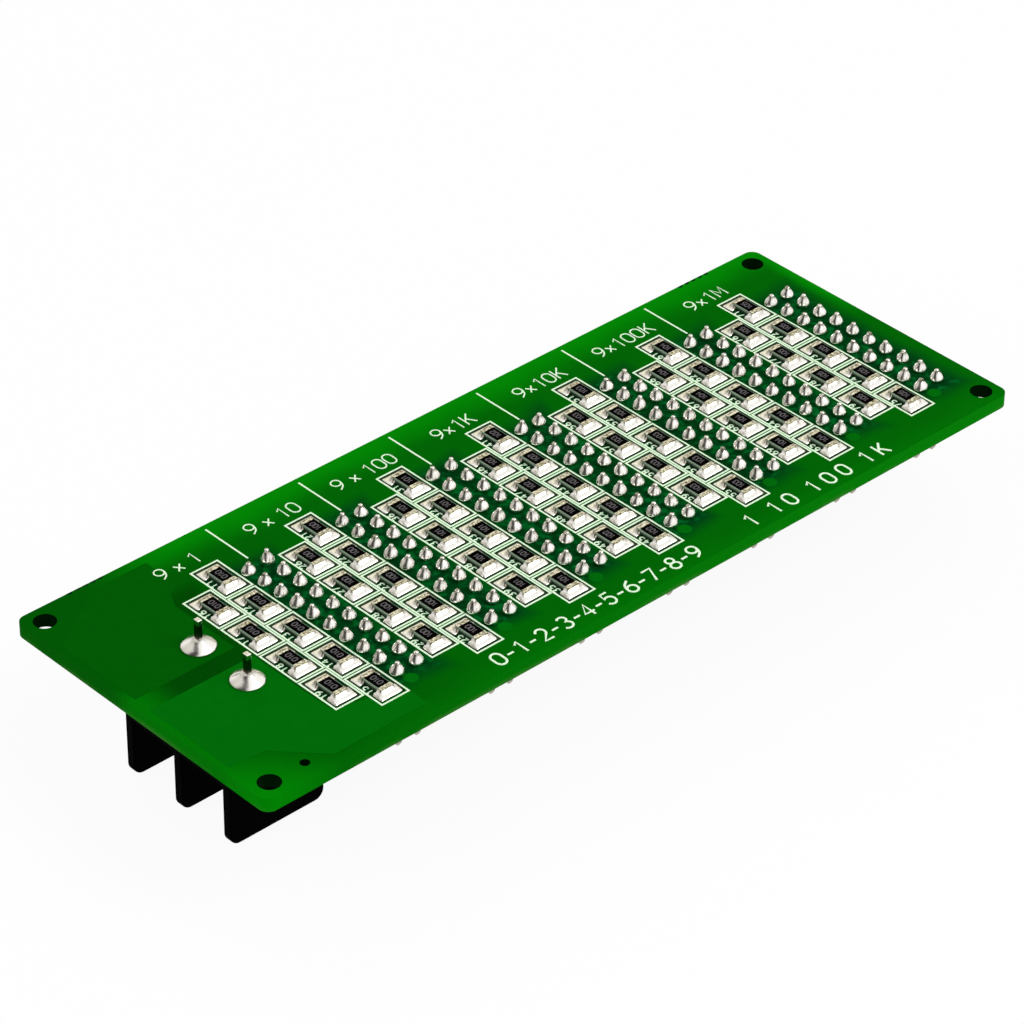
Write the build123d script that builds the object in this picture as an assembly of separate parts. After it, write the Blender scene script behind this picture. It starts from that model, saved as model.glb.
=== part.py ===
"""Programmable resistor board, lying with its solder side up.

Millimetres, +Z up. The origin is the middle of the board's outline, on the plane
that the terminal block's barriers stand on. +X runs from the terminal end to the
far end, through seven decades of nine resistors and one two-row header each.
"""
import math
import os

from build123d import *

# Header posts and their rows
decade_count = 7
rows_per_decade = 10
pin_pitch = 2.54
pin_side = 0.64
pin_tip_side = 0.34
pin_tail_taper = 0.6
pin_tail_length = 1.3
post_taper = 0.35
post_length = 4.4
header_base_height = 2.54
header_side_wall = 0.95
header_notch_depth = 0.45
header_notch_width = 0.9
pin_hole_clearance = 0.05

# Resistors, their lands and the printed outline round each
resistor_rows_inner = 5
resistor_rows_outer = 4
resistor_length = 3.2
resistor_width = 1.6
core_height = 0.5
end_cap_thickness = 0.05
end_cap_wrap = 0.5
glass_thickness = 0.04
glass_side_margin = 0.08
outline_length = 5.86
outline_width = 3.78
outline_stroke = 0.28
outline_row_gap = 0.14
outline_column_gap = 0.04
outer_column_offset = 3.5
land_length = 1.6
land_thickness = 0.05
land_to_outline = 0.11
fillet_width = 1.8
fillet_height = 0.42
fillet_toe = 0.1

# Solder joint of a header pin
cone_radius = 0.73
cone_height = 0.7
cone_top_wall = 0.02
cone_shoulder_radius = 0.69
cone_shoulder_height = 0.3

# Printed lines
print_thickness = 0.04
header_outline_gap = 0.25
separator_width = 0.2
separator_offset = 0.28
separator_edge_gap = 0.75
separator_pin_gap = 2.0

# Board
board_thickness = 1.6
board_corner_radius = 1.2
terminal_from_end = 10.4
terminal_to_outlines = 3.92
pins_to_outlines = 0.92
outlines_to_pins = 1.64
far_end_margin = 4.2
far_band = 5.67
near_band = 3.87
header_shift = 0.43
mounting_hole_diameter = 2.5
mounting_hole_inset = 2.2
tooling_hole_diameter = 1.1
tooling_hole_spacing = 4.5
bite_diameter = 0.5
bite_pitch = 1.0
bite_count = 5
near_tab_from_end = 7.0
far_tab_from_end = 7.6

# Terminal block
pole_count = 2
pole_pitch = 7.62
barrier_thickness = 1.2
barrier_corner_radius = 1.2
terminal_height = 13.1
terminal_depth = 12.2
terminal_base_height = 6.0
terminal_shift = 0.5
well_length = 8.8
well_width = 5.0
well_floor = 0.8
strip_thickness = 0.8
strip_side_clearance = 0.1
strip_lip = 1.0
tail_width = 0.6
tail_depth = 0.7
tail_shift_x = 0.7
tail_shift_y = 0.63
tail_above_board = 3.3
tail_hole_clearance = 0.05
joint_radius = 1.85
joint_shoulder_radius = 1.4
joint_shoulder_height = 0.65
joint_height = 1.1
joint_top_wall = 0.08

# Terminal screws and their clamps
thread_radius = 1.5
thread_clearance = 0.05
screw_tip_gap = 0.5
screw_head_radius = 2.75
screw_head_height = 2.0
screw_head_edge = 0.35
recess_width = 0.9
recess_length = 3.6
recess_depth = 1.1
clamp_side = 6.0
clamp_thickness = 0.8
clamp_hole_clearance = 0.12
clamp_corner_radius = 0.5

# Jumper
jumper_rows = (3, 1, 6, 2, 7, 4, 5)
jumper_end_wall = 0.55
jumper_side_wall = 0.5
jumper_cap_wall = 0.45
jumper_corner_radius = 0.3
clip_thickness = 0.25
clip_pin_clearance = 0.03
clip_fit_clearance = 0.1
clip_height = 4.0
clip_bridge_width = 0.6
clip_bridge_height = 1.0
clip_end_overhang = 0.35
post_end_clearance = 0.1

# Places that follow from the sizes
outline_pair_width = 2 * outline_width + outline_column_gap
decade_pitch = pin_pitch + pins_to_outlines + outline_pair_width + outlines_to_pins
row_span = (rows_per_decade - 1) * pin_pitch
outline_pitch = outline_length + outline_row_gap
outline_block = resistor_rows_inner * outline_pitch - outline_row_gap
first_column = terminal_from_end + terminal_to_outlines + outline_pair_width + pins_to_outlines
board_length = first_column + (decade_count - 1) * decade_pitch + pin_pitch + far_end_margin
board_width = far_band + outline_block + near_band

board_bottom = terminal_height
board_top = board_bottom + board_thickness
left_edge = -board_length / 2
far_edge = board_width / 2
outline_block_top = far_edge - far_band
outline_block_middle = outline_block_top - outline_block / 2
header_middle = outline_block_middle - header_shift
first_row = header_middle + row_span / 2
terminal_x = left_edge + terminal_from_end
terminal_y = -terminal_shift
header_base_width = pin_pitch + pin_side + 2 * header_side_wall
header_base_length = row_span + pin_side + 2 * header_side_wall
header_bottom = board_bottom - header_base_height
post_end = header_bottom - post_length


def column_x(decade):
    """X of a decade's left column of pins."""
    return left_edge + first_column + decade * decade_pitch


def row_y(row):
    """Y of a row of pins, counted from the far long edge."""
    return first_row - row * pin_pitch


def pin_places(decade):
    """X and Y of the twenty pins of one decade."""
    places = []
    for column in range(2):
        for row in range(rows_per_decade):
            places.append((column_x(decade) + column * pin_pitch, row_y(row)))
    return places


def outline_places(decade):
    """Middles of the nine resistor outlines of one decade."""
    inner_x = column_x(decade) - pins_to_outlines - outline_width / 2
    outer_x = inner_x - outline_width - outline_column_gap
    first_y = outline_block_top - outline_length / 2
    places = []
    for row in range(resistor_rows_inner):
        places.append((inner_x, first_y - row * outline_pitch))
    for row in range(resistor_rows_outer):
        places.append((outer_x, first_y - outer_column_offset - row * outline_pitch))
    return places


def pole_places():
    """X and Y of the terminal block's poles."""
    first = terminal_y + (pole_count - 1) * pole_pitch / 2
    return [(terminal_x, first - pole * pole_pitch) for pole in range(pole_count)]


def tail_places():
    """X and Y of the contacts' tails, which stand off the poles' middles."""
    return [(x + tail_shift_x, y + tail_shift_y) for x, y in pole_places()]


def mounting_hole_places():
    """X and Y of the four mounting holes."""
    reach_x = board_length / 2 - mounting_hole_inset
    reach_y = board_width / 2 - mounting_hole_inset
    return [(x, y) for x in (-reach_x, reach_x) for y in (-reach_y, reach_y)]


def copies(solid, places, height=0.0):
    """The same solid at each place."""
    return [Pos(x, y, height) * solid for x, y in places]


def slab(width, depth, bottom, top, x=0.0, y=0.0):
    """A block from bottom to top, centred on x and y."""
    return Pos(x, y, (bottom + top) / 2) * Box(width, depth, top - bottom)


def save(name, solids):
    """Writes one node; several solids go in side by side, unfused."""
    bodies = []
    for shape in solids:
        bodies.extend(shape.solids())
    whole = bodies[0] if len(bodies) == 1 else Compound(children=bodies)
    export_step(whole, f"parts/{name}.step")


def circle_wire(x, y, radius):
    """A round hole's rim in the XY plane."""
    return Wire.make_circle(radius, Plane((x, y, 0)))


def rectangle_wire(x, y, width, depth):
    """A rectangular rim in the XY plane."""
    corners = [
        (x - width / 2, y - depth / 2),
        (x + width / 2, y - depth / 2),
        (x + width / 2, y + depth / 2),
        (x - width / 2, y + depth / 2),
    ]
    return Wire.make_polygon([(a, b, 0) for a, b in corners], close=True)


def plate(outer, holes, bottom, top):
    """A flat plate with holes, between two heights."""
    return Pos(0, 0, bottom) * extrude(Face(outer, holes), top - bottom, dir=(0, 0, 1))


def side_profile(points, width):
    """A solid of the given width along X, from a profile of Y and Z."""
    face = Face(Wire.make_polygon([(-width / 2, y, z) for y, z in points], close=True))
    return extrude(face, width, dir=(1, 0, 0))


def turned(points):
    """A solid turned about Z from a profile of radius and height."""
    face = Face(Wire.make_polygon([(r, 0, z) for r, z in points], close=True))
    return revolve(face, Axis.Z, 360)


# Board: one glass-fibre plate, drilled, with the stubs of its break-off tabs
def circuit_board():
    outer = RectangleRounded(board_length, board_width, board_corner_radius).face().outer_wire()
    pin_hole = pin_side * math.sqrt(2) / 2 + pin_hole_clearance
    tail_hole = math.hypot(tail_width, tail_depth) / 2 + tail_hole_clearance
    holes = [circle_wire(x, y, mounting_hole_diameter / 2) for x, y in mounting_hole_places()]
    for decade in range(decade_count):
        holes.extend(circle_wire(x, y, pin_hole) for x, y in pin_places(decade))
    holes.extend(circle_wire(x, y, tail_hole) for x, y in tail_places())
    corner_x, corner_y = mounting_hole_places()[0]
    holes.append(circle_wire(corner_x + tooling_hole_spacing, corner_y, tooling_hole_diameter / 2))
    board = plate(outer, holes, board_bottom, board_top)
    bite = Cylinder(bite_diameter / 2, board_thickness)
    middle_height = (board_bottom + board_top) / 2
    for step in range(bite_count):
        along = step * bite_pitch
        board -= Pos(left_edge + near_tab_from_end + along, far_edge, middle_height) * bite
        board -= Pos(-left_edge - far_tab_from_end - along, far_edge, middle_height) * bite
    return board


# Print: resistor outlines and separators above, header outlines below
def frame(x, y, width, depth, bottom, top):
    inner = rectangle_wire(x, y, width - 2 * outline_stroke, depth - 2 * outline_stroke)
    return plate(rectangle_wire(x, y, width, depth), [inner], bottom, top)


def board_print():
    lines = []
    top = board_top + print_thickness
    under = board_bottom - print_thickness
    for decade in range(decade_count):
        for x, y in outline_places(decade):
            lines.append(frame(x, y, outline_width, outline_length, board_top, top))
        middle_x = column_x(decade) + pin_pitch / 2
        across = header_base_width + 2 * (header_outline_gap + outline_stroke)
        along = header_base_length + 2 * (header_outline_gap + outline_stroke)
        lines.append(frame(middle_x, header_middle, across, along, under, board_bottom))
    start = first_row + separator_pin_gap
    end = far_edge - separator_edge_gap
    for decade in range(decade_count - 1):
        line_x = column_x(decade) + pin_pitch / 2 + separator_offset
        lines.append(slab(separator_width, end - start, board_top, top, line_x, (start + end) / 2))
    return lines


# Resistor: ceramic core, two wrapped end caps and a black glass cover
land_top = board_top + land_thickness
core_bottom = land_top + end_cap_thickness
core_top = core_bottom + core_height
core_length = resistor_length - 2 * end_cap_thickness


def resistor_cores(decade):
    return copies(Box(resistor_width, core_length, core_height), outline_places(decade), (core_bottom + core_top) / 2)


def resistor_end_caps(decade):
    end = resistor_length / 2
    core_end = core_length / 2
    wrap_end = end - end_cap_wrap
    cap_top = core_top + end_cap_thickness
    profile = [
        (wrap_end, land_top),
        (end, land_top),
        (end, cap_top),
        (wrap_end, cap_top),
        (wrap_end, core_top),
        (core_end, core_top),
        (core_end, core_bottom),
        (wrap_end, core_bottom),
    ]
    cap = side_profile(profile, resistor_width)
    pair = [cap, Rot(0, 0, 180) * cap]
    return [piece for one in pair for piece in copies(one, outline_places(decade))]


def resistor_glass():
    length = resistor_length - 2 * end_cap_wrap
    cover = Box(resistor_width - 2 * glass_side_margin, length, glass_thickness)
    height = core_top + glass_thickness / 2
    return [piece for decade in range(decade_count) for piece in copies(cover, outline_places(decade), height)]


# Solder: a tinned land with a fillet at each resistor end, a cone at each pin
def land_solder():
    outer_end = outline_length / 2 - outline_stroke - land_to_outline
    inner_end = outer_end - land_length
    land_width = outline_width - 2 * (outline_stroke + land_to_outline)
    land = slab(land_width, land_length, board_top, land_top, 0, (outer_end + inner_end) / 2)
    end = resistor_length / 2
    slope = [(end, land_top), (outer_end - fillet_toe, land_top), (end, land_top + fillet_height)]
    return land + side_profile(slope, min(fillet_width, land_width))


def pin_solder():
    top_radius = pin_side * math.sqrt(2) / 2 + cone_top_wall
    profile = [
        (0, 0),
        (cone_radius, 0),
        (cone_shoulder_radius, cone_shoulder_height),
        (top_radius, cone_height),
        (0, cone_height),
    ]
    return turned(profile) - slab(pin_side, pin_side, 0, cone_height)


def decade_solder(decade):
    land = land_solder()
    joints = []
    for one in (land, Rot(0, 0, 180) * land):
        joints.extend(copies(one, outline_places(decade)))
    return joints + copies(pin_solder(), pin_places(decade), board_top)


# Header: a notched moulding with twenty square pins pressed through it
def header_base(decade):
    x = column_x(decade) + pin_pitch / 2
    half_width = header_base_width / 2
    half_length = header_base_length / 2
    side = []
    for gap in range(rows_per_decade - 1):
        y = row_span / 2 - (gap + 0.5) * pin_pitch
        side.append((half_width, y + header_notch_width / 2))
        side.append((half_width - header_notch_depth, y))
        side.append((half_width, y - header_notch_width / 2))
    right = [(half_width, half_length)] + side + [(half_width, -half_length)]
    points = right + [(-a, -b) for a, b in right]
    outer = Wire.make_polygon([(x + a, header_middle + b, 0) for a, b in points], close=True)
    holes = [rectangle_wire(px, py, pin_side, pin_side) for px, py in pin_places(decade)]
    return plate(outer, holes, header_bottom, board_bottom)


def pin_point(start, length, up):
    """A pin's end, narrowing from its full section to its tip."""
    narrowing = math.degrees(math.atan((pin_side - pin_tip_side) / 2 / length))
    return extrude(Pos(0, 0, start) * Rectangle(pin_side, pin_side), length, dir=(0, 0, up), taper=narrowing)


def header_pin():
    taper_start = board_top + pin_tail_length - pin_tail_taper
    shaft = slab(pin_side, pin_side, post_end + post_taper, taper_start)
    upper = pin_point(taper_start, pin_tail_taper, 1)
    lower = pin_point(post_end + post_taper, post_taper, -1)
    return shaft + upper + lower


# Jumper: a moulded cap over a folded spring clip that bridges one row's two posts
cap_inside_width = pin_side + 2 * (clip_pin_clearance + clip_thickness + clip_fit_clearance)
clip_length = pin_pitch + pin_side + 2 * clip_end_overhang
cap_inside_length = clip_length + 2 * clip_fit_clearance
cap_floor = post_end - post_end_clearance
cap_end = cap_floor - jumper_end_wall


def jumper_place(decade):
    """X and Y of the middle of the row that the jumper bridges."""
    return column_x(decade) + pin_pitch / 2, row_y(jumper_rows[decade])


def jumper_cap(decade):
    x, y = jumper_place(decade)
    length = cap_inside_length + 2 * jumper_side_wall
    width = cap_inside_width + 2 * jumper_cap_wall
    block = slab(length, width, cap_end, header_bottom, x, y)
    block = fillet(block.edges().filter_by(Axis.Z), jumper_corner_radius)
    return block - slab(cap_inside_length, cap_inside_width, cap_floor, header_bottom, x, y)


def jumper_clip(decade):
    x, y = jumper_place(decade)
    leaf_offset = pin_side / 2 + clip_pin_clearance + clip_thickness / 2
    top = cap_floor + clip_height
    clip = slab(clip_length, clip_thickness, cap_floor, top, x, y + leaf_offset)
    clip += slab(clip_length, clip_thickness, cap_floor, top, x, y - leaf_offset)
    clip += slab(clip_bridge_width, 2 * leaf_offset, cap_floor, cap_floor + clip_bridge_height, x, y)
    return clip


# Terminal block: a moulding with a well for each pole between three barriers
terminal_base_width = pole_count * pole_pitch + barrier_thickness
bay_floor = board_bottom - terminal_base_height
strip_width = well_width - 2 * strip_side_clearance
well_rear = terminal_x + well_length / 2
well_bottom = board_bottom - well_floor


def terminal_housing():
    body = slab(terminal_depth, terminal_base_width, bay_floor, board_bottom, terminal_x, terminal_y)
    barrier = slab(terminal_depth, barrier_thickness, 0, board_bottom)
    lower_edges = barrier.edges().filter_by(Axis.Y).group_by(Axis.Z)[0]
    barrier = fillet(lower_edges, barrier_corner_radius)
    for index in range(pole_count + 1):
        y = terminal_y + (pole_count / 2 - index) * pole_pitch
        body += Pos(terminal_x, y, 0) * barrier
    for x, y in pole_places():
        body -= slab(well_length, well_width, bay_floor, well_bottom, x, y)
    for x, y in tail_places():
        body -= slab(tail_width, tail_depth, well_bottom, board_bottom, x, y)
    return body


# Contact: a folded strip; its tapped face carries the screw, its tail is soldered
strip_face = bay_floor - strip_thickness


def terminal_contact(x, y):
    rear = well_rear - strip_side_clearance
    front = x - well_length / 2 - strip_lip
    inner_top = well_bottom - strip_thickness
    tail_x = x + tail_shift_x
    tail_y = y + tail_shift_y
    middle = tail_x - tail_width / 2
    profile = [
        (front, strip_face),
        (rear, strip_face),
        (rear, well_bottom),
        (middle, well_bottom),
        (middle, inner_top),
        (rear - strip_thickness, inner_top),
        (rear - strip_thickness, bay_floor),
        (front, bay_floor),
    ]
    side = y - strip_width / 2
    face = Face(Wire.make_polygon([(a, side, b) for a, b in profile], close=True))
    strip = extrude(face, strip_width, dir=(0, 1, 0))
    strip += slab(tail_width, tail_depth, well_bottom, board_top + tail_above_board, tail_x, tail_y)
    return strip - Pos(x, y, strip_face + strip_thickness / 2) * Cylinder(thread_radius, strip_thickness)


def terminal_solder():
    top_radius = math.hypot(tail_width, tail_depth) / 2 + joint_top_wall
    profile = [
        (0, 0),
        (joint_radius, 0),
        (joint_shoulder_radius, joint_shoulder_height),
        (top_radius, joint_height),
        (0, joint_height),
    ]
    joint = turned(profile) - slab(tail_width, tail_depth, 0, joint_height)
    return copies(joint, tail_places(), board_top)


# Clamp and screw: a loose square washer under a pan head with a crossed recess
clamp_face = strip_face - clamp_thickness
screw_tip = well_bottom - strip_thickness - screw_tip_gap


def terminal_clamp(x, y):
    block = slab(clamp_side, clamp_side, clamp_face, strip_face, x, y)
    block = fillet(block.edges().filter_by(Axis.Z), clamp_corner_radius)
    hole = Cylinder(thread_radius - thread_clearance + clamp_hole_clearance, clamp_thickness)
    return block - Pos(x, y, (clamp_face + strip_face) / 2) * hole


def terminal_screw(x, y):
    shank_radius = thread_radius - thread_clearance
    head_end = clamp_face - screw_head_height
    profile = [
        (0, head_end),
        (screw_head_radius - screw_head_edge, head_end),
        (screw_head_radius, head_end + screw_head_edge),
        (screw_head_radius, clamp_face),
        (shank_radius, clamp_face),
        (shank_radius, screw_tip),
        (0, screw_tip),
    ]
    screw = turned(profile)
    for length, width in ((recess_length, recess_width), (recess_width, recess_length)):
        screw -= slab(length, width, head_end, head_end + recess_depth)
    return Pos(x, y, 0) * screw


os.makedirs("parts", exist_ok=True)
save("circuit_board", [circuit_board()])
save("board_print", board_print())
save("resistor_glass", resistor_glass())
save("terminal_housing", [terminal_housing()])
save("terminal_contacts", [terminal_contact(x, y) for x, y in pole_places()])
save("terminal_solder", terminal_solder())
for number, (x, y) in enumerate(pole_places(), start=1):
    save(f"terminal_clamp_{number}", [terminal_clamp(x, y)])
    save(f"terminal_screw_{number}", [terminal_screw(x, y)])
for decade in range(decade_count):
    number = decade + 1
    save(f"resistor_cores_{number}", resistor_cores(decade))
    save(f"resistor_end_caps_{number}", resistor_end_caps(decade))
    save(f"solder_{number}", decade_solder(decade))
    save(f"header_base_{number}", [header_base(decade)])
    save(f"header_pins_{number}", copies(header_pin(), pin_places(decade)))
    save(f"jumper_cap_{number}", [jumper_cap(decade)])
    save(f"jumper_clip_{number}", [jumper_clip(decade)])
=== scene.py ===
"""Looks of the programmable resistor board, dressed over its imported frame.

The board lies with its solder side up. Sections follow it as it is put together:
board, tab stubs, copper, print, resistors, solder, headers, jumpers and terminal block.
"""

import math

import bmesh
import bpy
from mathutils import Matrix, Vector, noise


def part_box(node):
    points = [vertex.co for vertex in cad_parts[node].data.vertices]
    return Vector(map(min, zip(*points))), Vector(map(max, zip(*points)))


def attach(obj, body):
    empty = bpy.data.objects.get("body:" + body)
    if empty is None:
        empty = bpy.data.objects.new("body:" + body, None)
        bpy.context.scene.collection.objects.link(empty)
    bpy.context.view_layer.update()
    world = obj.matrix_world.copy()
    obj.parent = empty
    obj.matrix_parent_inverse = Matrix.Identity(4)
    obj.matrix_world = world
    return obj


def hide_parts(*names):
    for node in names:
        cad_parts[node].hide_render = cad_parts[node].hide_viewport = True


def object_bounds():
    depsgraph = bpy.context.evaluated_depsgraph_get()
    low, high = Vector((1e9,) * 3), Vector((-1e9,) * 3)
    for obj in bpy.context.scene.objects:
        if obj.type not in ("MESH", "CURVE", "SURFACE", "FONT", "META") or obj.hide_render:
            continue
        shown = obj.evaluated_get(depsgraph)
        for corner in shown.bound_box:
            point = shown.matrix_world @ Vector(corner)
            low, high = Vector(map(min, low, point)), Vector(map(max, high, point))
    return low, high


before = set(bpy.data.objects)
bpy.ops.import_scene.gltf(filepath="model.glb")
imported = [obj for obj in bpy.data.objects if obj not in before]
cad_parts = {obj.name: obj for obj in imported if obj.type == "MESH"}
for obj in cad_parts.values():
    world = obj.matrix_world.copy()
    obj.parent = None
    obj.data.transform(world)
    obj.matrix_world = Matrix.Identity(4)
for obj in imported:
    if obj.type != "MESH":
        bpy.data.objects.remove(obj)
cad_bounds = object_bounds()
mm = 0.001
decades = range(1, 8)


# Camera
# A long lens stands low over the corner with the terminal block and looks along
# the board, so the rows of resistors run away to the upper right.
camera_place_mm = (-267.54, -282.80, 288.07)
camera_turn_deg = (54.791, -0.504, -42.771)
camera_lens_mm = 159.46


def set_out(name, data):
    """An object made of a mesh, lamp or camera, set in the scene."""
    made = bpy.data.objects.new(name, data)
    bpy.context.scene.collection.objects.link(made)
    return made


camera_data = bpy.data.cameras.new("board_camera")
camera_data.lens = camera_lens_mm
camera_data.sensor_width = 36.0
camera_data.clip_start = 0.01
camera_data.clip_end = 20.0
camera = set_out("board_camera", camera_data)
camera.location = Vector(camera_place_mm) * mm
camera.rotation_euler = [math.radians(a) for a in camera_turn_deg]
bpy.context.scene.camera = camera
bpy.context.scene.view_settings.view_transform = "Standard"


# Studio
# A white table under a bright room, one large soft lamp over the right shoulder
# and two weaker ones. Bent cards round the board show only in reflections: a dark
# one beside the camera, a grey one to its left and a tan one behind the board.
floor_half_side = 2.5
floor_tone = 0.93
floor_lift = 0.93
room_white = (1.0, 1.0, 1.0, 1.0)
room_fill = 0.5
lamps = (
    # name, place in mm, side in mm, watts, seen in metal
    ("soft_key", (260, -420, 560), 420, 2.5, True),
    ("soft_fill", (-520, 60, 420), 380, 0.9, False),
    ("back_rim", (150, 520, 430), 300, 0.8, False),
)
cards = (
    # name, compass span and height span in degrees, foot colour, head colour
    ("dark_card", (142, 238), (-4, 105), (0.04, 0.036, 0.032), (0.07, 0.064, 0.058)),
    ("grey_card", (85, 178), (-4, 75), (0.45, 0.42, 0.37), (0.72, 0.7, 0.65)),
    ("tan_card", (5, 90), (-4, 62), (0.22, 0.18, 0.11), (1.0, 0.98, 0.8)),
)
card_distance = 900
card_gap = 15
card_steps = 12
card_soft_edge = 0.34
card_full_tone = 0.6


def feed(tree, node, inputs):
    """Gives a node's inputs their values, or links them where a value is a socket."""
    for socket, value in inputs.items():
        if isinstance(value, bpy.types.NodeSocket):
            tree.links.new(value, node.inputs[socket])
        else:
            node.inputs[socket].default_value = value


def add_node(tree, kind, inputs=None, **settings):
    """A new node of a kind, with its settings and its inputs."""
    made = tree.nodes.new(kind)
    for setting, value in settings.items():
        setattr(made, setting, value)
    feed(tree, made, inputs or {})
    return made


def math_step(tree, operation, first, second=None, clamp=False):
    """One step of arithmetic on sockets or numbers; gives its result's socket."""
    inputs = {0: first} if second is None else {0: first, 1: second}
    return add_node(tree, "ShaderNodeMath", inputs, operation=operation, use_clamp=clamp).outputs[0]


def ramp_step(tree, value, low, high, out_low=0.0, out_high=1.0):
    """A smooth rise from out_low to out_high as value goes from low to high."""
    inputs = {"Value": value, "From Min": low, "From Max": high, "To Min": out_low, "To Max": out_high}
    return add_node(tree, "ShaderNodeMapRange", inputs, interpolation_type="SMOOTHSTEP").outputs[0]


def mix_shaders(tree, share, first, second):
    """A node that blends two shader nodes by a share."""
    return add_node(tree, "ShaderNodeMixShader", {"Fac": share, 1: first.outputs[0], 2: second.outputs[0]})


def bare_tree(holder):
    """The emptied node tree of a world or a material."""
    holder.use_nodes = True
    holder.node_tree.nodes.clear()
    return holder.node_tree


def shaped(name, form, material=None):
    """An object made of a finished form, in one material."""
    mesh = bpy.data.meshes.new(name)
    form.to_mesh(mesh)
    form.free()
    if material:
        mesh.materials.append(material)
    return set_out(name, mesh)


def rectangle(x, y, half_x, half_y):
    """The four corners of a rectangle, in turn, by its middle and half sides."""
    return [(x + a * half_x, y + b * half_y) for a, b in ((-1, -1), (1, -1), (1, 1), (-1, 1))]


room = bpy.data.worlds.new("studio_room")
bpy.context.scene.world = room
tree = bare_tree(room)
ray = add_node(tree, "ShaderNodeLightPath").outputs
seen = math_step(tree, "ADD", ray["Is Camera Ray"], ray["Is Glossy Ray"], clamp=True)
seen = math_step(tree, "ADD", seen, ray["Is Transmission Ray"], clamp=True)
soft = add_node(tree, "ShaderNodeBackground", {"Color": room_white, "Strength": room_fill})
bright = add_node(tree, "ShaderNodeBackground", {"Color": room_white, "Strength": 1.0})
shown = mix_shaders(tree, seen, soft, bright)
add_node(tree, "ShaderNodeOutputWorld", {"Surface": shown.outputs[0]})

white_table = bpy.data.materials.new("white_table")
tree = bare_tree(white_table)
ray = add_node(tree, "ShaderNodeLightPath").outputs
seen = math_step(tree, "MAXIMUM", ray["Is Camera Ray"], ray["Is Glossy Ray"])
lift = math_step(tree, "MULTIPLY", seen, floor_lift)
matt = add_node(tree, "ShaderNodeBsdfDiffuse", {"Color": (floor_tone, floor_tone, floor_tone, 1)})
table_top = mix_shaders(tree, lift, matt, add_node(tree, "ShaderNodeEmission"))
from_below = add_node(tree, "ShaderNodeNewGeometry").outputs["Backfacing"]
shown = mix_shaders(tree, from_below, table_top, add_node(tree, "ShaderNodeBsdfTransparent"))
add_node(tree, "ShaderNodeOutputMaterial", {"Surface": shown.outputs[0]})
form = bmesh.new()
form.faces.new([form.verts.new((x, y, 0)) for x, y in rectangle(0, 0, floor_half_side, floor_half_side)])
shaped("studio_floor", form, white_table)

board_heart = Vector((0, 0, cad_bounds[1].z / 2))
for name, place, size, watts, seen_in_metal in lamps:
    lamp_data = bpy.data.lights.new(name, "AREA")
    lamp_data.shape = "SQUARE"
    lamp_data.size = size * mm
    lamp_data.energy = watts
    lamp = set_out(name, lamp_data)
    lamp.location = Vector(place) * mm
    lamp.rotation_euler = (board_heart - lamp.location).to_track_quat("-Z", "Y").to_euler()
    lamp.visible_glossy = seen_in_metal


def card_paper(name, foot, head):
    """Glowing paper, blended from foot to head colour, that thins out at its edges."""
    paper = bpy.data.materials.new(name)
    tree = bare_tree(paper)
    at = add_node(tree, "ShaderNodeSeparateXYZ", {0: add_node(tree, "ShaderNodeUVMap").outputs[0]}).outputs
    tone = add_node(tree, "ShaderNodeValToRGB", {"Fac": at["Y"]})
    low, high = tone.color_ramp.elements
    low.color = (*foot, 1)
    high.color = (*head, 1)
    high.position = card_full_tone
    cover = ramp_step(tree, at["X"], 0.0, card_soft_edge)
    cover = math_step(tree, "MULTIPLY", cover, ramp_step(tree, at["X"], 1.0, 1.0 - card_soft_edge))
    cover = math_step(tree, "MULTIPLY", cover, ramp_step(tree, at["Y"], 1.0, 1.0 - card_soft_edge))
    glow = add_node(tree, "ShaderNodeEmission", {"Color": tone.outputs["Color"]})
    sheet = mix_shaders(tree, cover, add_node(tree, "ShaderNodeBsdfTransparent"), glow)
    add_node(tree, "ShaderNodeOutputMaterial", {"Surface": sheet.outputs[0]})
    return paper


for index, (name, compass, height_span, foot, head) in enumerate(cards):
    form = bmesh.new()
    distance = (card_distance + index * card_gap) * mm
    uv = form.loops.layers.uv.new("UVMap")
    rows = []
    for up in range(card_steps + 1):
        rise = math.radians(height_span[0] + (height_span[1] - height_span[0]) * up / card_steps)
        row = []
        for across in range(card_steps + 1):
            turn = math.radians(compass[0] + (compass[1] - compass[0]) * across / card_steps)
            spot = (math.cos(rise) * math.cos(turn), math.cos(rise) * math.sin(turn), math.sin(rise))
            row.append(form.verts.new(Vector(spot) * distance))
        rows.append(row)
    for up in range(card_steps):
        for across in range(card_steps):
            corners = ((across, up), (across + 1, up), (across + 1, up + 1), (across, up + 1))
            face = form.faces.new([rows[b][a] for a, b in corners])
            for loop, (a, b) in zip(face.loops, corners):
                loop[uv].uv = (a / card_steps, b / card_steps)
    card = shaped(name, form, card_paper(name, foot, head))
    for rays in ("camera", "diffuse", "shadow", "transmission", "volume_scatter"):
        setattr(card, "visible_" + rays, False)


# Circuit board
# One plate of woven glass fibre and resin under glossy green mask. The bare fibre
# lets light through, and this is painted into the green: a painted glow near the edges
# and painted shade over the black mouldings.
# mask_bright is the painted glow of light through the fibre; the shade greens are painted shade.
mask_bright = (0.0004, 0.242, 0.001)
shade_patch_green = (0.0002, 0.125, 0.02)
mask_plain = (0.0003, 0.122, 0.0012)
mask_deep = (0.0002, 0.09, 0.001)
header_shade_green = (0.0002, 0.036, 0.0075)
block_shade_green = (0.0002, 0.058, 0.0008)
mask_gloss = 0.002
mask_gloss_tint = (0.3, 1.0, 0.35, 1)
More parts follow.
